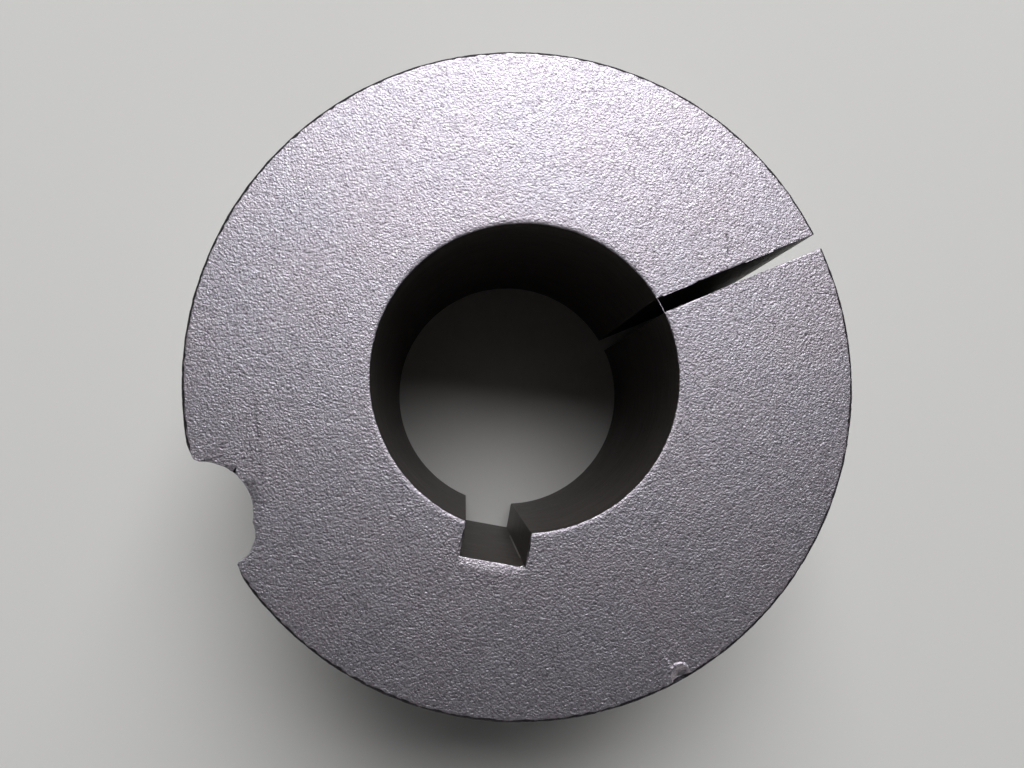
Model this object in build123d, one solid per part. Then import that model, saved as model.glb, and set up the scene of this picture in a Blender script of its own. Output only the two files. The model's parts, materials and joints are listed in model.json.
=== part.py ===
from build123d import *
import math
import os

# Taper bush, all sizes in millimetres.
# The bore runs along Z. The origin is at the centre of the large end, which lies on z = 0,
# and the small end faces +Z. The keyway points along -Y. Angles are in degrees, and a place's
# angle is counted counter-clockwise from +X, seen from the small end.

# Outside taper
large_end_diameter = 69.85
bush_length = 31.75
taper_angle_per_side = 4.0
large_rim_radius = 0.4
small_rim_radius = 0.4

# Bore, keyway and slit
bore_diameter = 30.1625
keyway_width = 6.35
keyway_side_depth = 3.175
keyway_top_clearance = 0.127
keyway_angle = 270.0
slit_width = 1.5875
slit_offset = 1.4  # from the bore axis to the middle of the saw cut
slit_angle = 33.1

# Half-holes for the set screws, 90 degrees apart along the outside
screw_axis_inset = 1.5875  # from the large end's edge inwards to each screw axis
removal_hole_diameter = 9.9  # before tapping, right through
removal_hole_angle = 213.8
seating_hole_diameter = 11.5  # plain, blind, open at the large end
seating_hole_floor = 10.5  # metal left beyond the hole's full diameter
seating_hole_point_angle = 118.0  # drill point
seating_hole_turn_angle = 90.0  # from the removal hole, to each side

# Damage at the small end: a pit in the rim, and a chip beside the removal hole
pit_radius = 1.36
pit_centre_height = 0.55  # above the small end
pit_angle = 307.8
chip_radius = 2.74
chip_end_radius = 1.9
chip_depth = 4.5
chip_inset = 1.36  # from the screw axis circle inwards
chip_turn_angle = 4.9  # from the removal hole

# Every cutter runs past the face that it opens
cut_past = 1.0

large_end_radius = large_end_diameter / 2
bore_radius = bore_diameter / 2
taper_slope = math.tan(math.radians(taper_angle_per_side))
small_end_radius = large_end_radius - bush_length * taper_slope
screw_circle_radius = large_end_radius - screw_axis_inset
keyway_side_reach = math.sqrt(bore_radius**2 - (keyway_width / 2) ** 2)
keyway_floor_reach = keyway_side_reach + keyway_side_depth + keyway_top_clearance


def at_angle(angle, reach=0.0, height=0.0):
    """A place at this angle and reach from the bore axis, with its X pointing outwards."""
    return Rotation(0, 0, angle) * Pos(reach, 0, height)


def tapered_blank():
    """The turned cone with its bore and both rounded rims."""
    corners = [
        (bore_radius, 0),
        (large_end_radius, 0),
        (small_end_radius, bush_length),
        (bore_radius, bush_length),
    ]
    section = make_face(Polyline(*corners, close=True))
    rims = section.vertices().sort_by(Axis.X)[-2:].sort_by(Axis.Y)
    section = fillet(rims[0], large_rim_radius)
    rims = section.vertices().group_by(Axis.Y)[-1].sort_by(Axis.X)
    section = fillet(rims[-1], small_rim_radius)
    return revolve(Plane.XZ * section, Axis.Z)


def through_box(angle, reach, width, offset):
    """A cutter from the bore axis out to a reach, the full length of the bush."""
    height = bush_length + 2 * cut_past
    box = Box(reach, width, height, align=(Align.MIN, Align.CENTER, Align.MIN))
    return at_angle(angle, 0, -cut_past) * Pos(0, offset, 0) * box


def keyway():
    return through_box(keyway_angle, keyway_floor_reach, keyway_width, 0)


def slit():
    return through_box(slit_angle, large_end_radius + cut_past, slit_width, slit_offset)


def removal_hole():
    height = bush_length + 2 * cut_past
    drill = Cylinder(removal_hole_diameter / 2, height, align=(Align.CENTER, Align.CENTER, Align.MIN))
    return at_angle(removal_hole_angle, screw_circle_radius, -cut_past) * drill


def seating_hole(angle):
    """A drilled hole with a pointed end, entered from the large end."""
    radius = seating_hole_diameter / 2
    depth = bush_length - seating_hole_floor
    point = radius / math.tan(math.radians(seating_hole_point_angle / 2))
    outline = [(0, -cut_past), (radius, -cut_past), (radius, depth), (0, depth + point)]
    drill = revolve(Plane.XZ * make_face(Polyline(*outline, close=True)), Axis.Z)
    return at_angle(angle, screw_circle_radius) * drill


def rim_pit():
    centre_height = bush_length + pit_centre_height
    return at_angle(pit_angle, small_end_radius, centre_height) * Sphere(pit_radius)


def mouth_chip():
    """A bite out of the removal hole's mouth, narrower with depth."""
    bite = Cone(chip_end_radius, chip_radius, chip_depth, align=(Align.CENTER, Align.CENTER, Align.MAX))
    bite += Cylinder(chip_radius, cut_past, align=(Align.CENTER, Align.CENTER, Align.MIN))
    angle = removal_hole_angle + chip_turn_angle
    return at_angle(angle, screw_circle_radius - chip_inset, bush_length) * bite


def taper_bush():
    bush = tapered_blank() - keyway() - slit() - removal_hole()
    for side in (-1, 1):
        bush -= seating_hole(removal_hole_angle + side * seating_hole_turn_angle)
    return bush - rim_pit() - mouth_chip()


os.makedirs("parts", exist_ok=True)
export_step(taper_bush(), "parts/taper_bush.step")
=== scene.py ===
import json
import math

import bmesh
import bpy
from mathutils import Matrix, Vector, noise


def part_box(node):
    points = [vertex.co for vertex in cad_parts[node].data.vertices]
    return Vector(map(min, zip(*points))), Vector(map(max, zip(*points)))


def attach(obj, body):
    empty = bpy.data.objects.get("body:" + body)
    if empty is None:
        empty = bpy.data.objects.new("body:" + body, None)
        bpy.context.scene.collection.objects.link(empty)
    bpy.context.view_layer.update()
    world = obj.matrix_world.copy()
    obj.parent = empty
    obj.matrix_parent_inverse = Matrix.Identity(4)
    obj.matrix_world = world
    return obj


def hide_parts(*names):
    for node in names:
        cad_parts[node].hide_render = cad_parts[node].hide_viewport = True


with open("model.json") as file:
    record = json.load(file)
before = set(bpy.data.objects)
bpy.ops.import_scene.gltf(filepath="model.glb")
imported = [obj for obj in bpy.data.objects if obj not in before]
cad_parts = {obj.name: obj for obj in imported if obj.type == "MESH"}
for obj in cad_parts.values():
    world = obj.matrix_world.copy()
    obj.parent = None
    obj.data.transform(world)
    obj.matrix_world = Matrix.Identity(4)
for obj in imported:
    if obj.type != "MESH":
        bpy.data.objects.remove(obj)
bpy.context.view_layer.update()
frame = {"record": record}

mm = 0.001
up = Vector((0, 0, 1))

# What the frame says about the bush, in millimetres
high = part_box("taper_bush")[1]
mounts = {m["name"]: m for m in frame["record"]["mounts"]}
bushHeight = high.z / mm
boreRadius = mounts["bore"]["dims"]["r_mm"]
keywayReach = -mounts["keyway"]["pos_m"][1] / mm


def mountPlace(name):
    x, y, z = mounts[name]["pos_m"]
    return Vector((x, y, 0)) / mm


def polar(angle, reach, height=0.0):
    turn = math.radians(angle)
    return Vector((reach * math.cos(turn), reach * math.sin(turn), height))


def angleOf(place):
    return math.degrees(math.atan2(place.y, place.x))


# Small mesh helpers. The bush is modelled in millimetres and shrunk to metres at the end.
def objectFrom(bm, name):
    mesh = bpy.data.meshes.new(name)
    bm.to_mesh(mesh)
    bm.free()
    piece = bpy.data.objects.new(name, mesh)
    bpy.context.scene.collection.objects.link(piece)
    return piece


def outlineFace(bm, points):
    return bm.faces.new([bm.verts.new(p) for p in points])


def applyModifiers(piece):
    graph = bpy.context.evaluated_depsgraph_get()
    finished = bpy.data.meshes.new_from_object(piece.evaluated_get(graph))
    piece.modifiers.clear()
    spare = piece.data
    piece.data = finished
    bpy.data.meshes.remove(spare)


def combine(bush, tools, operation="DIFFERENCE"):
    for tool in tools:
        step = bush.modifiers.new(tool.name, "BOOLEAN")
        step.operation = operation
        step.solver = "EXACT"
        step.object = tool
    applyModifiers(bush)
    for tool in tools:
        bpy.data.objects.remove(tool)


def sweptBar(name, section, centre, rise, angle, steps):
    # a closed bar: the section is turned about an upright line through the centre and lifted as it goes
    bm = bmesh.new()
    face = outlineFace(bm, section)
    bmesh.ops.spin(bm, geom=[face] + face.edges[:] + face.verts[:], cent=centre, axis=up,
                   dvec=(0, 0, rise / steps), angle=angle, steps=steps)
    bmesh.ops.remove_doubles(bm, verts=bm.verts, dist=0.0001)
    openEdges = [e for e in bm.edges if len(e.link_faces) == 1]
    if openEdges:
        bmesh.ops.holes_fill(bm, edges=openEdges, sides=4)
    bmesh.ops.recalc_face_normals(bm, faces=bm.faces)
    return objectFrom(bm, name)


bushShape = {
    "largeRadius": 34.925,
    "taperAngle": 4.0,
    "rimRounding": 0.42,
    "rimSegments": 5,
    "turnSteps": 512,
    "faceRings": (0.5, 1.3, 4.2, 6.0, 9.0, 12.0, 13.6),  # out from the bore, on both ends
    "wallRings": (0.6, 2.0, 8.0, 16.0, 24.0, 30.0),
    "rimRoughness": 0.05,
    "mouthRoughness": 0.05,
    "edgeRounding": 0.13,
    "shortestEdge": 0.14,  # round the bore's mouth, so that no rounding overlaps the next
    "roundingShare": {"slit": 0.35, "pit": 0.0, "drillPoint": 0.0, "other": 0.7},  # of that rounding; the bore's mouth has it all
    "edgePiece": 0.4,  # longest straight piece of an edge at the small end
}
slitShape = {"angle": 33.1, "width": 1.5875, "offset": 1.4}
keywayShape = {"width": 6.35}
screwShape = {
    "holeRadius": 4.95,
    "seatingRadius": 5.75,
    "seatingDepth": 21.25,
    "pointAngle": 118.0,
    "holeSteps": 96,
    "pitch": 25.4 / 14,
    "grooveRadius": 5.56,
    "threadEnd": 24.0,
    "stepsPerTurn": 64,
}
damageShape = {
    "pitRadius": 1.45,
    "pitHeight": 1.0,
    "pitInset": 0.35,
    "pitAngle": 307.8,
    "lipRadius": 1.0,
    "lipHeight": 0.12,
    "lipInset": 0.82,
    "chipRadius": 2.74,
    "chipEndRadius": 2.55,
    "chipDepth": 4.5,
    "chipInset": 1.36,
    "chipTurn": 4.9,
    "tips": ((205.27, -1), (223.4, 1)),  # the removal hole's two tips, and the way that each points
    "tipCuts": ((0.45, 2.0), (0.7, 0.5)),  # inwards, and back along the rim
    "burrAngles": (34.8, 42.1),
    "burrSize": 0.05,
}
removalHole = mountPlace("removal_half_hole")
seatingHoles = [mountPlace("seating_half_hole_left"), mountPlace("seating_half_hole_right")]


def coneRadius(height):
    return bushShape["largeRadius"] - height * math.tan(math.radians(bushShape["taperAngle"]))


smallRadius = coneRadius(bushHeight)


def turnedBlank(s):
    bm = bmesh.new()
    bottom = [(boreRadius + r, 0) for r in (0,) + s["faceRings"]]
    top = [(boreRadius + r, bushHeight) for r in (0,) + s["faceRings"]]
    slope = math.tan(math.radians(s["taperAngle"]))
    outside = [(s["largeRadius"] - h * slope, h) for h in s["wallRings"]]
    bore = [(boreRadius, h) for h in s["wallRings"]]
    corners = [(s["largeRadius"], 0), (smallRadius, bushHeight)]
    ring = bottom + [corners[0]] + outside + [corners[1]] + top[::-1] + bore[::-1]
    verts = [bm.verts.new((x, 0, z)) for x, z in ring]
    for a, b in zip(verts, verts[1:] + verts[:1]):
        bm.edges.new((a, b))
    rims = [v for v in verts if (v.co - Vector((corners[0][0], 0, 0))).length < 0.01
            or (v.co - Vector((corners[1][0], 0, corners[1][1]))).length < 0.01]
    bmesh.ops.bevel(bm, geom=rims, offset=s["rimRounding"], offset_type="OFFSET", affect="VERTICES",
                    segments=s["rimSegments"], profile=0.5, material=-1)
    bmesh.ops.spin(bm, geom=bm.verts[:] + bm.edges[:], cent=(0, 0, 0), axis=up,
                   angle=math.tau, steps=s["turnSteps"], use_merge=True)
    bmesh.ops.remove_doubles(bm, verts=bm.verts, dist=0.001)
    bmesh.ops.recalc_face_normals(bm, faces=bm.faces)
    return objectFrom(bm, "taperBush")


def longBox(name, angle, reach, width, offset):
    bm = bmesh.new()
    made = bmesh.ops.create_cube(bm, size=1)
    size = Vector((reach, width, bushHeight + 4))
    bmesh.ops.scale(bm, vec=size, verts=made["verts"])
    bmesh.ops.translate(bm, vec=(reach / 2, offset, bushHeight / 2), verts=made["verts"])
    bmesh.ops.rotate(bm, cent=(0, 0, 0), matrix=Matrix.Rotation(math.radians(angle), 3, up), verts=made["verts"])
    return objectFrom(bm, name)


def drillCutter(name, place, rings, steps):
    # rings are (radius, height) from the bottom up
    bm = bmesh.new()
    verts = [bm.verts.new((place.x + r, place.y, z)) for r, z in rings]
    for a, b in zip(verts, verts[1:]):
        bm.edges.new((a, b))
    bmesh.ops.spin(bm, geom=bm.verts[:] + bm.edges[:], cent=(place.x, place.y, 0), axis=up,
                   angle=math.tau, steps=steps, use_merge=True)
    bmesh.ops.remove_doubles(bm, verts=bm.verts, dist=0.0005)
    bmesh.ops.recalc_face_normals(bm, faces=bm.faces)
    return objectFrom(bm, name)


def holeCutters(s):
    steps = s["holeSteps"]
    through = [(0, -2), (s["holeRadius"], -2), (s["holeRadius"], bushHeight + 2), (0, bushHeight + 2)]
    cutters = [drillCutter("removalHole", removalHole, through, steps)]
    point = s["seatingRadius"] / math.tan(math.radians(s["pointAngle"] / 2))
    blind = [(0, -2), (s["seatingRadius"], -2), (s["seatingRadius"], s["seatingDepth"]), (0, s["seatingDepth"] + point)]
    for number, place in enumerate(seatingHoles):
        cutters.append(drillCutter(f"seatingHole{number}", place, blind, steps))
    return cutters


def roughBall(name, radius, place, squash=1.0):
    bm = bmesh.new()
    bmesh.ops.create_icosphere(bm, subdivisions=4, radius=radius)
    for v in bm.verts:
        v.co *= 1 + 0.06 * noise.noise(v.co * 2.5)
    bmesh.ops.scale(bm, vec=(1, 1, squash), verts=bm.verts)
    bmesh.ops.translate(bm, vec=place, verts=bm.verts)
    return objectFrom(bm, name)


def pitLip(s):
    # metal pushed up round the inner side of the pit
    place = polar(s["pitAngle"], smallRadius - s["lipInset"], bushHeight)
    return roughBall("pitLip", s["lipRadius"], place, s["lipHeight"] / s["lipRadius"])


def damageCutters(s):
    chipReach = removalHole.length - s["chipInset"]
    place = polar(angleOf(removalHole) + s["chipTurn"], chipReach)
    rings = [(0, bushHeight - s["chipDepth"]), (s["chipEndRadius"], bushHeight - s["chipDepth"]),
             (s["chipRadius"], bushHeight), (s["chipRadius"], bushHeight + 2), (0, bushHeight + 2)]
    chip = drillCutter("mouthChip", place, rings, 48)
    place = polar(s["pitAngle"], smallRadius - s["pitInset"], bushHeight + s["pitHeight"])
    return [chip, roughBall("rimPit", s["pitRadius"], place)]


def tipCutters(s):
    # both tips beside the removal hole are worn back, all down the taper
    cutters = []
    for angle, way in s["tips"]:
        tip, outward = polar(angle, smallRadius), polar(angle, 1)
        alongRim = polar(angle + 90 * way, 1)
        for inward, back in s["tipCuts"]:
            onRim, onWall = tip + alongRim * back, tip - outward * inward
            run = onRim - onWall if way < 0 else onWall - onRim
            if polar(angleOf(run) + 90, 1).dot(outward) < 0:
                run = -run
            bm = bmesh.new()
            made = bmesh.ops.create_cube(bm, size=1)["verts"]
            bmesh.ops.scale(bm, vec=(run.length + 2.6, 4, 2 * bushHeight + 8), verts=made)
            bmesh.ops.translate(bm, vec=(0, 2, 0), verts=made)
            lean = Matrix.Rotation(math.radians(bushShape["taperAngle"]), 3, "X")
            bmesh.ops.rotate(bm, cent=(0, 0, 0), matrix=lean, verts=made)
            turn = Matrix.Rotation(math.radians(angleOf(run)), 3, up)
            bmesh.ops.rotate(bm, cent=(0, 0, 0), matrix=turn, verts=made)
            bmesh.ops.translate(bm, vec=(onRim + onWall) / 2 + up * bushHeight, verts=made)
            cutters.append(objectFrom(bm, f"tip{angle:.0f}back{back:.1f}".replace(".", "_")))
    return cutters


def threadCutter(s):
    # a V-shaped bar wound right-handed round the removal hole, ending outside the bush
    tanFlank = math.tan(math.radians(30))
    inner = s["holeRadius"] - 0.5
    halfRoot = s["pitch"] / 16
    halfMouth = halfRoot + (s["grooveRadius"] - inner) * tanFlank
    start = -s["pitch"]
    corners = [(inner, start - halfMouth), (s["grooveRadius"], start - halfRoot),
               (s["grooveRadius"], start + halfRoot), (inner, start + halfMouth)]
    outward = angleOf(removalHole)
    section = [polar(outward, r, z) + removalHole for r, z in corners]
    turns = round((s["threadEnd"] - start) / s["pitch"])
    return sweptBar("threadGroove", section, removalHole, turns * s["pitch"], turns * math.tau,
                    turns * s["stepsPerTurn"])


def mouthBurr(s):
    # a hair of metal that the saw left across the slit, at the bore's mouth
    first, last = s["burrAngles"]
    size, top = s["burrSize"], bushHeight - 0.03
    corners = [(boreRadius, top - size), (boreRadius + size, top - size),
               (boreRadius + size, top), (boreRadius, top)]
    section = [polar(first, r, z) for r, z in corners]
    return sweptBar("mouthBurr", section, (0, 0, 0), 0.0, math.radians(last - first), 16)


def joinTo(bush, piece):
    bm = bmesh.new()
    bm.from_mesh(bush.data)
    bm.from_mesh(piece.data)
    bm.to_mesh(bush.data)
    bm.free()
    bpy.data.objects.remove(piece)


def softenEdges(bush, s):
    # blasting leaves the edges slightly rounded and uneven
    bm = bmesh.new()
    bm.from_mesh(bush.data)
    bmesh.ops.remove_doubles(bm, verts=bm.verts, dist=0.01)
    bmesh.ops.dissolve_degenerate(bm, dist=0.01, edges=bm.edges)
    pit = polar(damageShape["pitAngle"], smallRadius - damageShape["pitInset"], bushHeight)
    slitAcross = polar(slitShape["angle"] + 90, 1)

    def onThread(v):
        reach = (v.co - removalHole).xy.length
        return reach < screwShape["grooveRadius"] + 0.05 and v.co.z < screwShape["threadEnd"] + screwShape["pitch"]

    def sharpEdges():
        sharp = [e for e in bm.edges if len(e.link_faces) == 2 and e.calc_face_angle(0) > math.radians(40)]
        return [e for e in sharp if not any(onThread(v) for v in e.verts)]

    def atMouth(e):
        return min(v.co.z for v in e.verts) > bushHeight - 0.02

    def shareOf(e):
        middle = (e.verts[0].co + e.verts[1].co) / 2
        if (middle - pit).length < damageShape["pitRadius"] + 0.3:
            return s["roundingShare"]["pit"]
        atPoint = 0 < middle.z - screwShape["seatingDepth"] + 0.1 < screwShape["seatingRadius"]
        if atPoint and any((middle - place).xy.length < screwShape["seatingRadius"] + 0.3 for place in seatingHoles):
            return s["roundingShare"]["drillPoint"]
        aside = abs(middle.dot(slitAcross) - slitShape["offset"])
        if aside < slitShape["width"] / 2 + 0.1 and middle.xy.length > boreRadius + 0.2:
            return s["roundingShare"]["slit"]
        if middle.xy.length < keywayReach + 0.6 and middle.z > bushHeight - 0.1:
            return 1.0
        return s["roundingShare"]["other"]

    for cuts in range(1, 60):
        same = [e for e in sharpEdges() if atMouth(e) and int(e.calc_length() / s["edgePiece"]) == cuts]
        if same:
            bmesh.ops.subdivide_edges(bm, edges=same, cuts=cuts)
    mouth = {v for e in sharpEdges() if atMouth(e) for v in e.verts}
    inner = {v for v in mouth if v.co.z > bushHeight - 0.02 and v.co.xy.length < keywayReach + 0.6}
    short = [e for e in sharpEdges() if all(v in inner for v in e.verts) and e.calc_length() < s["shortestEdge"]]
    bmesh.ops.collapse(bm, edges=short)
    bmesh.ops.dissolve_degenerate(bm, dist=0.005, edges=bm.edges)
    mouth = {v for e in sharpEdges() if atMouth(e) for v in e.verts}
    for v in mouth:
        drift = noise.noise_vector(v.co * 0.9) * 0.6 + noise.noise_vector(v.co * 2.6) * 0.8
        v.co += Vector((drift.x, drift.y, 0)) * s["mouthRoughness"]
    for v in bm.verts:
        outside = Vector((v.co.x, v.co.y, 0))
        if v.co.z > bushHeight - 0.6 and outside.length > smallRadius - 0.6 and v not in mouth:
            drift = noise.noise(v.co * 1.1) * 0.7 + noise.noise(v.co * 3.1) * 0.6
            v.co += outside.normalized() * drift * s["rimRoughness"]
    bmesh.ops.recalc_face_normals(bm, faces=bm.faces)
    weight = bm.edges.layers.float.new("bevel_weight_edge")
    for e in sharpEdges():
        e[weight] = shareOf(e)
    bm.to_mesh(bush.data)
    bm.free()
    rounding = bush.modifiers.new("softEdges", "BEVEL")
    rounding.limit_method = "WEIGHT"
    rounding.width = s["edgeRounding"]
    rounding.segments = 2
    rounding.use_clamp_overlap = False
    applyModifiers(bush)


bush = turnedBlank(bushShape)
cutters = [
    longBox("keyway", -90, keywayReach, keywayShape["width"], 0),
    longBox("slit", slitShape["angle"], 40, slitShape["width"], slitShape["offset"]),
]
combine(bush, [pitLip(damageShape)], "UNION")
combine(bush, cutters + holeCutters(screwShape) + damageCutters(damageShape) + tipCutters(damageShape))
combine(bush, [threadCutter(screwShape)])
print("bush cut:", len(bush.data.vertices), "points")
softenEdges(bush, bushShape)
joinTo(bush, mouthBurr(damageShape))
print("edges softened:", len(bush.data.vertices), "points")


# Which finish each face has, by the order of the materials
blasted, bored, sawn, turned, rubbedHighlight = range(5)


def assignFinishes(mesh):
    slitAcross = polar(slitShape["angle"] + 90, 1)
    slitMiddle = slitAcross * slitShape["offset"]
    halfSlit = slitShape["width"] / 2
    holes = [(removalHole, screwShape["grooveRadius"])]
    holes += [(place, screwShape["seatingRadius"]) for place in seatingHoles]
    pit = polar(damageShape["pitAngle"], smallRadius - damageShape["pitInset"], bushHeight)
    for face in mesh.polygons:
        c, n = face.center / mm, face.normal
        reach = c.xy.length
        side = (c - slitMiddle).dot(slitAcross)
        alongSlit = c.dot(polar(slitShape["angle"], 1))
        inSlit = abs(side) < halfSlit + 0.12 and alongSlit > boreRadius - 1
        inKeyway = abs(c.x) < keywayShape["width"] / 2 + 0.12 and -keywayReach - 0.12 < c.y < 0
        inHole = any((c - place).xy.length < radius + 0.03 for place, radius in holes)
        onTaper = n.x * c.x + n.y * c.y > 0.9 * reach
        if abs(n.z) > 0.9 or (c - pit).length < damageShape["pitRadius"] + 0.2:
            face.material_index = blasted
        elif abs(side) < halfSlit and alongSlit > boreRadius - 1:
            face.material_index = sawn  # the burr
        # the mouths' edges get a smoother finish with a brightened colour: painted highlight
        elif (reach < boreRadius + 0.12 or inKeyway) and abs(n.z) > 0.2 and c.z > bushHeight / 2:
            face.material_index = rubbedHighlight
        elif inSlit:
            face.material_index = blasted if n.z > 0.2 else sawn
        # the bore, keyway and hole walls below get the very dark bored finish: painted shade
        elif reach < boreRadius + 0.12 or inKeyway:
            face.material_index = bored
        elif inHole and c.z < bushHeight - 0.15 and reach < coneRadius(c.z) - 0.05:
            face.material_index = bored
        elif (inHole or onTaper) and c.z < bushHeight - 0.45:
            face.material_index = turned
        else:
            face.material_index = blasted


bush.data.transform(Matrix.Scale(mm, 4))
bush.data.polygons.foreach_set("use_smooth", [True] * len(bush.data.polygons))
bush.data.set_sharp_from_angle(angle=math.radians(28))
weigh = bush.modifiers.new("keepFacesFlat", "WEIGHTED_NORMAL")
weigh.keep_sharp = True
applyModifiers(bush)


# Finishes
def addNode(tree, kind, settings=None, **values):
    node = tree.nodes.new(kind)
    for key, value in (settings or {}).items():
        setattr(node, key, value)
    for key, value in values.items():
        node.inputs[key].default_value = value
    return node


def mathNode(tree, operation, first, second=0.5, third=None):
    node = addNode(tree, "ShaderNodeMath", {"operation": operation})
    for socket, value in zip(node.inputs, (first, second, third)):
        if isinstance(value, (int, float)):
            socket.default_value = value
        elif value is not None:
            tree.links.new(value, socket)
    return node.outputs[0]


def rangeNode(tree, value, low, high, toLow=0.0, toHigh=1.0):
    node = addNode(tree, "ShaderNodeMapRange", {"interpolation_type": "SMOOTHSTEP"})
    tree.links.new(value, node.inputs["Value"])
    for key, number in (("From Min", low), ("From Max", high), ("To Min", toLow), ("To Max", toHigh)):
        node.inputs[key].default_value = number
    return node.outputs["Result"]


def mixColour(tree, factor, first, second):
    node = addNode(tree, "ShaderNodeMix", {"data_type": "RGBA"})
    wanted = {"Factor_Float": factor, "A_Color": first, "B_Color": second}
    for socket in node.inputs:
        value = wanted.get(socket.identifier)
        if value is None:
            continue
        if isinstance(value, (int, float)):
            socket.default_value = value
        elif isinstance(value, tuple):
            socket.default_value = (*value, 1.0)
        else:
            tree.links.new(value, socket)
    return next(o for o in node.outputs if o.identifier == "Result_Color")


def newGroup(name, inputs, outputs):
    group = bpy.data.node_groups.new(name, "ShaderNodeTree")
    for label, kind, value in inputs:
        socket = group.interface.new_socket(label, in_out="INPUT", socket_type=kind)
        if value is not None:
            socket.default_value = value
    for label, kind in outputs:
        group.interface.new_socket(label, in_out="OUTPUT", socket_type=kind)
    return group, group.nodes.new("NodeGroupInput"), group.nodes.new("NodeGroupOutput")


def noiseNode(tree, vector, scale, detail=2.0, roughness=0.5, distortion=0.0):
    node = addNode(tree, "ShaderNodeTexNoise", Detail=detail, Roughness=roughness, Distortion=distortion)
    tree.links.new(vector, node.inputs["Vector"])
    if isinstance(scale, (int, float)):
        node.inputs["Scale"].default_value = scale
    else:
        tree.links.new(scale, node.inputs["Scale"])
    return node.outputs["Fac"]


def grainGroup():
    # short wavy ridges and pits, as shot-blasting leaves them
    group, entry, leave = newGroup(
        "blastGrain",
        [("Vector", "NodeSocketVector", None), ("Grain", "NodeSocketFloat", 2600.0)],
        [("Height", "NodeSocketFloat"), ("PitShade", "NodeSocketFloat"), ("PeakHighlight", "NodeSocketFloat"),
         ("Flecks", "NodeSocketFloat"), ("Patches", "NodeSocketFloat")])
    vector, grain = entry.outputs["Vector"], entry.outputs["Grain"]
    fine = noiseNode(group, vector, grain, 3.0, 0.6, 0.3)
    cells = group.nodes.new("ShaderNodeTexVoronoi")
    group.links.new(vector, cells.inputs["Vector"])
    group.links.new(grain, cells.inputs["Scale"])
    slow = noiseNode(group, vector, mathNode(group, "MULTIPLY", grain, 0.16), 2.0, 0.5)
    height = mathNode(group, "MULTIPLY_ADD", fine, 0.62, mathNode(group, "MULTIPLY", cells.outputs["Distance"], -0.3))
    height = mathNode(group, "MULTIPLY_ADD", slow, 0.15, height)
    group.links.new(height, leave.inputs["Height"])
    # masks for painted shade in the pits and painted highlight on the peaks, from the fine noise that also shapes the
    # bump
    group.links.new(rangeNode(group, fine, 0.44, 0.28), leave.inputs["PitShade"])
    group.links.new(rangeNode(group, fine, 0.56, 0.7), leave.inputs["PeakHighlight"])
    separate = group.nodes.new("ShaderNodeSeparateColor")
    group.links.new(cells.outputs["Color"], separate.inputs[0])
    group.links.new(separate.outputs[0], leave.inputs["Flecks"])
    patches = noiseNode(group, vector, 130.0, 3.0, 0.6)
    group.links.new(rangeNode(group, patches, 0.3, 0.7), leave.inputs["Patches"])
    return group


def lineGroup():
    # lines that a cutting tool leaves, stretched by the scale it is given
    group, entry, leave = newGroup(
        "toolLines",
        [("Vector", "NodeSocketVector", None), ("Stretch", "NodeSocketVector", (1.0, 1.0, 1.0))],
        [("Height", "NodeSocketFloat")])
    stretched = addNode(group, "ShaderNodeVectorMath", {"operation": "MULTIPLY"})
    group.links.new(entry.outputs["Vector"], stretched.inputs[0])
    group.links.new(entry.outputs["Stretch"], stretched.inputs[1])
    lines = noiseNode(group, stretched.outputs[0], 1.0, 3.0, 0.6)
    group.links.new(lines, leave.inputs["Height"])
    return group


def markGroup():
    # a broken line from one place to another on the small end
    group, entry, leave = newGroup(
        "lineMark",
        [("Vector", "NodeSocketVector", None), ("Gaps", "NodeSocketFloat", 0.5), ("From", "NodeSocketVector", None),
         ("To", "NodeSocketVector", None), ("Width", "NodeSocketFloat", 0.0002), ("Break", "NodeSocketFloat", 0.5)],
        [("Mask", "NodeSocketFloat")])

    def vectorNode(operation, first, second=None, scale=None):
        node = addNode(group, "ShaderNodeVectorMath", {"operation": operation})
        group.links.new(first, node.inputs[0])
        if second is not None:
            group.links.new(second, node.inputs[1])
        if scale is not None:
            group.links.new(scale, node.inputs["Scale"])
        return node

    run = vectorNode("SUBTRACT", entry.outputs["To"], entry.outputs["From"]).outputs[0]
    fromStart = vectorNode("SUBTRACT", entry.outputs["Vector"], entry.outputs["From"]).outputs[0]
    along = vectorNode("DOT_PRODUCT", fromStart, run).outputs["Value"]
    total = vectorNode("DOT_PRODUCT", run, run).outputs["Value"]
    share = addNode(group, "ShaderNodeMath", {"operation": "DIVIDE", "use_clamp": True})
    group.links.new(along, share.inputs[0])
    group.links.new(total, share.inputs[1])
    nearest = vectorNode("SCALE", run, scale=share.outputs[0]).outputs[0]
    apart = vectorNode("DISTANCE", fromStart, nearest).outputs["Value"]
    near = mathNode(group, "SUBTRACT", 1.0, mathNode(group, "DIVIDE", apart, entry.outputs["Width"]))
    kept = mathNode(group, "GREATER_THAN", entry.outputs["Gaps"], entry.outputs["Break"])
    mask = addNode(group, "ShaderNodeMath", {"operation": "MULTIPLY", "use_clamp": True})
    group.links.new(near, mask.inputs[0])
    group.links.new(kept, mask.inputs[1])
    group.links.new(mask.outputs[0], leave.inputs["Mask"])
    return group


blastGrain = grainGroup()
toolLines = lineGroup()
lineMark = markGroup()


def newFinish(name):
    material = bpy.data.materials.new(name)
    material.use_nodes = True
    tree = material.node_tree
    shader = tree.nodes["Principled BSDF"]
    place = tree.nodes.new("ShaderNodeTexCoord").outputs["Object"]
    return material, tree, shader, place


def groupNode(tree, group, vector, **values):
    node = addNode(tree, "ShaderNodeGroup", {"node_tree": group}, **values)
    tree.links.new(vector, node.inputs["Vector"])
    return node


def bumpNode(tree, height, distance, strength, under=None):
    node = addNode(tree, "ShaderNodeBump", Distance=distance, Strength=strength)
    tree.links.new(height, node.inputs["Height"])
    if under is not None:
        tree.links.new(under, node.inputs["Normal"])
    return node.outputs["Normal"]


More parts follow.
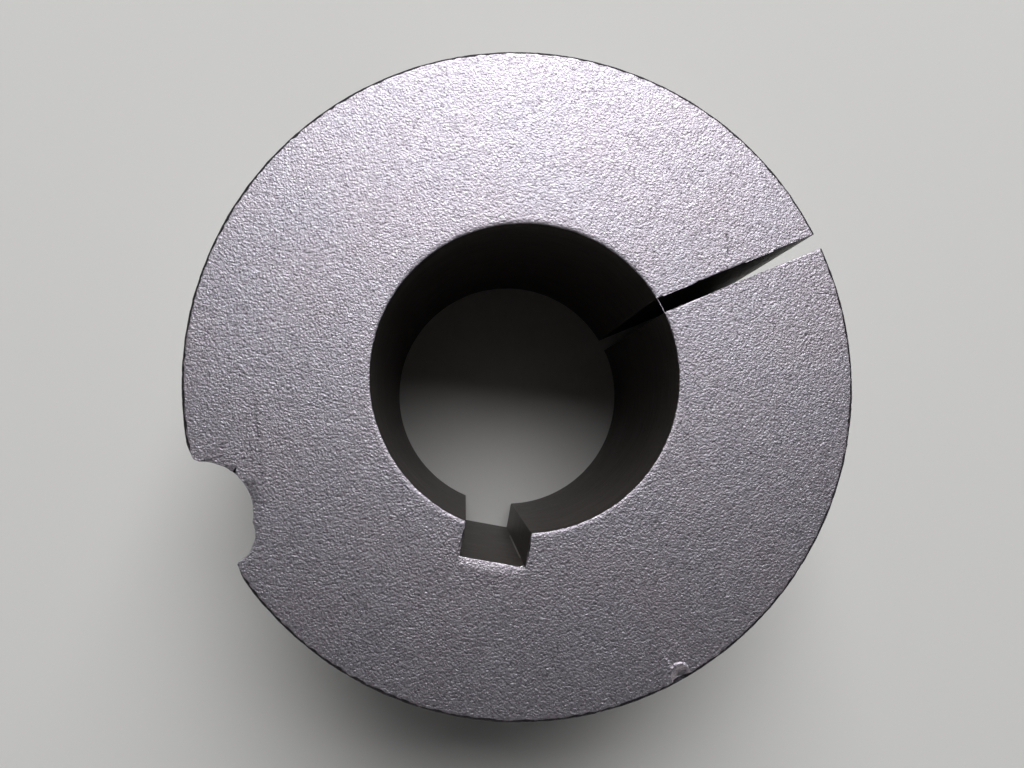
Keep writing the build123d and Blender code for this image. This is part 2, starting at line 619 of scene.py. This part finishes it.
ironTone = {
    # pit and peak colours: painted shade in the grain's pits and painted highlight on its peaks; they also colour the
    # random dark and light flecks
    "pit": (0.20, 0.180, 0.205),
    "body": (0.50, 0.458, 0.512),
    "peak": (0.78, 0.75, 0.80),
    "tint": (0.52, 0.455, 0.50),
    "mark": (0.15, 0.135, 0.16),
    # rim colour: painted shade along the small end's rounded rim
    "rim": (0.045, 0.04, 0.045),
    "metallic": 1.0,
    "grain": 4300.0,
    "grainDepth": 0.00011,
    "rimShadeWidth": 0.32,
    "roughest": 0.47,
    "smoothest": 0.34,
}
# From, to, width, how much of it is missing and how dark it is, in millimetres on the small end
faceMarks = {
    "longScratch": ((-25.1, -5.7), (-22.3, -14.3), 0.42, 0.5, 0.42),
    "sideScratch": ((-25.6, -7.4), (-23.6, -13.0), 0.2, 0.53, 0.4),
    "slitCrack": ((17.5, 18.0), (18.0, 16.1), 0.16, 0.47, 0.8),
    "rimCrease": ((30.2, 14.3), (27.5, 13.8), 0.13, 0.3, 0.6),
}


def scratchMask(tree, vector, gaps, start, end, width, broken, strength):
    values = {"From": tuple(mm * n for n in start), "To": tuple(mm * n for n in end),
              "Width": width * mm, "Break": broken}
    mark = groupNode(tree, lineMark, vector, **values)
    if gaps is not None:
        tree.links.new(gaps, mark.inputs["Gaps"])
    return mathNode(tree, "MULTIPLY", mark.outputs["Mask"], strength)


def blastedFinish(tone, marks):
    material, tree, shader, place = newFinish("blastedIron")
    grain = groupNode(tree, blastGrain, place, Grain=tone["grain"])
    light = rangeNode(tree, grain.outputs["Flecks"], 0.78, 0.95, 0.0, 0.4)
    dark = rangeNode(tree, grain.outputs["Flecks"], 0.22, 0.05, 0.0, 0.4)
    colour = mixColour(tree, mathNode(tree, "MULTIPLY", grain.outputs["Patches"], 0.6), tone["body"], tone["tint"])
    # the pits are painted darker and the peaks lighter: painted shade and painted highlight on the grain
    colour = mixColour(tree, grain.outputs["PitShade"], colour, tone["pit"])
    colour = mixColour(tree, mathNode(tree, "MULTIPLY", grain.outputs["PeakHighlight"], 0.6), colour, tone["peak"])
    colour = mixColour(tree, light, colour, tone["peak"])
    colour = mixColour(tree, dark, colour, tone["pit"])

    wobble = addNode(tree, "ShaderNodeTexNoise", Scale=1100.0, Detail=1.0)
    tree.links.new(place, wobble.inputs["Vector"])
    strayed = addNode(tree, "ShaderNodeVectorMath", {"operation": "MULTIPLY_ADD"})
    tree.links.new(wobble.outputs["Color"], strayed.inputs[0])
    strayed.inputs[1].default_value = (0.5 * mm, 0.5 * mm, 0.0)
    tree.links.new(place, strayed.inputs[2])
    scratched = 0.0
    top = (bushHeight,)
    for start, end, width, broken, strength in marks.values():
        mask = scratchMask(tree, strayed.outputs[0], wobble.outputs["Fac"], start + top, end + top,
                           width, broken, strength)
        scratched = mathNode(tree, "MAXIMUM", mask, scratched)
    colour = mixColour(tree, scratched, colour, tone["mark"])

    # painted shade: the small end's rounded rim is painted dark, and made rougher
    split = tree.nodes.new("ShaderNodeSeparateXYZ")
    tree.links.new(place, split.inputs[0])
    flat = addNode(tree, "ShaderNodeCombineXYZ")
    tree.links.new(split.outputs["X"], flat.inputs["X"])
    tree.links.new(split.outputs["Y"], flat.inputs["Y"])
    reach = addNode(tree, "ShaderNodeVectorMath", {"operation": "LENGTH"})
    tree.links.new(flat.outputs[0], reach.inputs[0])
    uneven = mathNode(tree, "MULTIPLY_ADD", wobble.outputs["Fac"], 0.4 * mm, reach.outputs["Value"])
    start = (smallRadius - tone["rimShadeWidth"] + 0.2) * mm
    paintedRimShade = rangeNode(tree, uneven, start - 0.04 * mm, start + 0.06 * mm)
    atTop = mathNode(tree, "GREATER_THAN", split.outputs["Z"], (bushHeight - 1) * mm)
    paintedRimShade = mathNode(tree, "MULTIPLY", paintedRimShade, atTop)
    colour = mixColour(tree, paintedRimShade, colour, tone["rim"])
    tree.links.new(colour, shader.inputs["Base Color"])

    shader.inputs["Metallic"].default_value = tone["metallic"]
    rough = rangeNode(tree, grain.outputs["Height"], 0.2, 0.6, tone["roughest"], tone["smoothest"])
    rough = mathNode(tree, "MULTIPLY_ADD", paintedRimShade, 0.2, rough)
    tree.links.new(rough, shader.inputs["Roughness"])
    normal = bumpNode(tree, grain.outputs["Height"], tone["grainDepth"], 0.9)
    dented = mathNode(tree, "MULTIPLY", scratched, -1.0)
    normal = bumpNode(tree, dented, 0.06 * mm, 0.8, normal)
    tree.links.new(normal, shader.inputs["Normal"])
    return material


def tooledFinish(name, body, stretch, rough, bumpSize, metallic, scratch=None):
    material, tree, shader, place = newFinish(name)
    lines = groupNode(tree, toolLines, place, Stretch=stretch)
    grain = groupNode(tree, blastGrain, place, Grain=5200.0)
    streaks = mathNode(tree, "MULTIPLY", lines.outputs["Height"], 0.5)
    # painted shade in the pits, added to the darker tool lines
    shade = mathNode(tree, "MULTIPLY_ADD", grain.outputs["PitShade"], 0.5, streaks)
    colour = mixColour(tree, shade, body, tuple(0.3 * c for c in body))
    speck = rangeNode(tree, grain.outputs["Flecks"], 0.8, 1.0, 0.0, 0.3)
    colour = mixColour(tree, speck, colour, tuple(1.7 * c for c in body))
    if scratch:
        mask = scratchMask(tree, place, None, *scratch)
        colour = mixColour(tree, mask, colour, (0.5, 0.47, 0.44))
    tree.links.new(colour, shader.inputs["Base Color"])
    shader.inputs["Metallic"].default_value = metallic
    roughness = rangeNode(tree, lines.outputs["Height"], 0.3, 0.7, rough - 0.07, rough + 0.07)
    tree.links.new(roughness, shader.inputs["Roughness"])
    relief = mathNode(tree, "MULTIPLY", grain.outputs["Height"], 0.5)
    height = mathNode(tree, "MULTIPLY_ADD", lines.outputs["Height"], 0.6, relief)
    tree.links.new(bumpNode(tree, height, bumpSize, 0.8), shader.inputs["Normal"])
    return material


# Body colour, stretch of the tool's lines, roughness, depth of the relief and metallic
tooling = {
    # the bored iron's very dark body colour is painted shade in the bore, keyway and holes
    "boredIronShade": ((0.10, 0.086, 0.078), (220.0, 220.0, 7000.0), 0.5, 0.00003, 0.6),
    "sawnIron": ((0.10, 0.09, 0.078), (300.0, 300.0, 5200.0), 0.55, 0.00005, 0.6),
    "turnedIron": ((0.36, 0.345, 0.37), (120.0, 120.0, 6000.0), 0.42, 0.00003, 0.85),
    # the rubbed iron is smoother, and its colour is brightened: painted highlight along the mouths' edges
    "rubbedIronHighlight": ((0.70, 0.67, 0.69), (900.0, 900.0, 900.0), 0.36, 0.00003, 1.0),
}
# a fine bright line that the broach left down one corner of the keyway
cornerX, cornerY = keywayShape["width"] / 2 - 0.1, -keywayReach
broachLine = ((cornerX, cornerY, 9.0), (cornerX + 0.06, cornerY, 26.0), 0.13, 0.4, 0.6)
bush.data.materials.clear()
bush.data.materials.append(blastedFinish(ironTone, faceMarks))
for name, values in tooling.items():
    scratch = broachLine if name == "boredIronShade" else None
    bush.data.materials.append(tooledFinish(name, *values, scratch))
assignFinishes(bush.data)
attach(bush, "root")
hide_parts("taper_bush")
print("bush finished")


# Floor, backdrop, lamps and camera
studio = {
    "floorSize": 3.0,
    "floorColour": (0.78, 0.76, 0.73),
    "backdropRadius": 1.1,
    "backdropHeight": 0.28,
    "worldColour": (0.80, 0.84, 0.90),
    "worldLow": 0.14,  # near the horizon
    "worldHigh": 0.015,  # overhead
    "turn": 10.5,  # the lamps and the camera are turned by this about the bore
}


def plainMaterial(name, colour):
    material = bpy.data.materials.new(name)
    material.use_nodes = True
    shader = material.node_tree.nodes["Principled BSDF"]
    shader.inputs["Base Color"].default_value = (*colour, 1)
    shader.inputs["Roughness"].default_value = 0.8
    shader.inputs["Specular IOR Level"].default_value = 0.2
    return material


def buildStudio(s):
    bm = bmesh.new()
    bmesh.ops.create_grid(bm, x_segments=1, y_segments=1, size=s["floorSize"] / 2)
    bmesh.ops.translate(bm, vec=(0, 0, -0.00005), verts=bm.verts)
    floor = objectFrom(bm, "floor")
    floor.data.materials.append(plainMaterial("paleFloor", s["floorColour"]))
    bm = bmesh.new()
    bmesh.ops.create_cone(bm, segments=96, radius1=s["backdropRadius"], radius2=s["backdropRadius"],
                          depth=s["backdropHeight"], cap_ends=False)
    bmesh.ops.translate(bm, vec=(0, 0, s["backdropHeight"] / 2), verts=bm.verts)
    bmesh.ops.reverse_faces(bm, faces=bm.faces)
    backdrop = objectFrom(bm, "backdrop")
    material = plainMaterial("paleBackdrop", s["floorColour"])
    tree = material.node_tree
    shader = tree.nodes["Principled BSDF"]
    path = tree.nodes.new("ShaderNodeLightPath")
    seen = mathNode(tree, "MAXIMUM", path.outputs["Is Camera Ray"], path.outputs["Is Glossy Ray"])
    seen = mathNode(tree, "MAXIMUM", seen, path.outputs["Is Transmission Ray"])
    tree.links.new(mathNode(tree, "MULTIPLY", seen, 0.6), shader.inputs["Emission Strength"])
    shader.inputs["Emission Color"].default_value = (*s["floorColour"], 1)
    backdrop.data.materials.append(material)
    world = bpy.data.worlds.new("studio")
    world.use_nodes = True
    tree = world.node_tree
    sky = tree.nodes["Background"]
    sky.inputs["Color"].default_value = (*s["worldColour"], 1)
    split = tree.nodes.new("ShaderNodeSeparateXYZ")
    tree.links.new(tree.nodes.new("ShaderNodeTexCoord").outputs["Generated"], split.inputs[0])
    strength = rangeNode(tree, split.outputs["Z"], 0.1, 0.8, s["worldLow"], s["worldHigh"])
    tree.links.new(strength, sky.inputs["Strength"])
    bpy.context.scene.world = world


windowLamp = {
    "place": (0.11, 1.05, 1.0),
    "target": (0.0, 0.0, 0.02),
    "size": (1.25, 1.25),
    "power": 26.0,
    "colour": (0.96, 0.98, 1.0),
}


def addLamp(name, s):
    lamp = bpy.data.lights.new(name, "AREA")
    lamp.shape = "RECTANGLE"
    lamp.size, lamp.size_y = s["size"]
    lamp.energy = s["power"]
    lamp.color = s["colour"]
    holder = bpy.data.objects.new(name, lamp)
    bpy.context.scene.collection.objects.link(holder)
    turn = Matrix.Rotation(math.radians(studio["turn"]), 3, "Z")
    place, target = turn @ Vector(s["place"]), turn @ Vector(s["target"])
    holder.location = place
    holder.rotation_euler = (target - place).to_track_quat("-Z", "Y").to_euler()


cameraView = {
    "lens": 25.74,
    "sensor": 36.0,
    "place": (-5.87, -6.0, 70.55),  # from the middle of the small end, before the turn
    "tilt": (4.20, -3.61),
}


def addCamera(s):
    camera = bpy.data.cameras.new("closeCamera")
    camera.lens = s["lens"]
    camera.sensor_width = s["sensor"]
    camera.clip_start = 0.004
    camera.clip_end = 20
    holder = bpy.data.objects.new("closeCamera", camera)
    bpy.context.scene.collection.objects.link(holder)
    turn = Matrix.Rotation(math.radians(studio["turn"]), 3, "Z")
    holder.location = turn @ (Vector(s["place"]) + up * bushHeight) * mm
    holder.rotation_euler = (math.radians(s["tilt"][0]), math.radians(s["tilt"][1]), math.radians(studio["turn"]))
    bpy.context.scene.camera = holder


buildStudio(studio)
addLamp("windowLamp", windowLamp)
addCamera(cameraView)
bpy.context.scene.view_settings.view_transform = "Standard"
print("studio built")
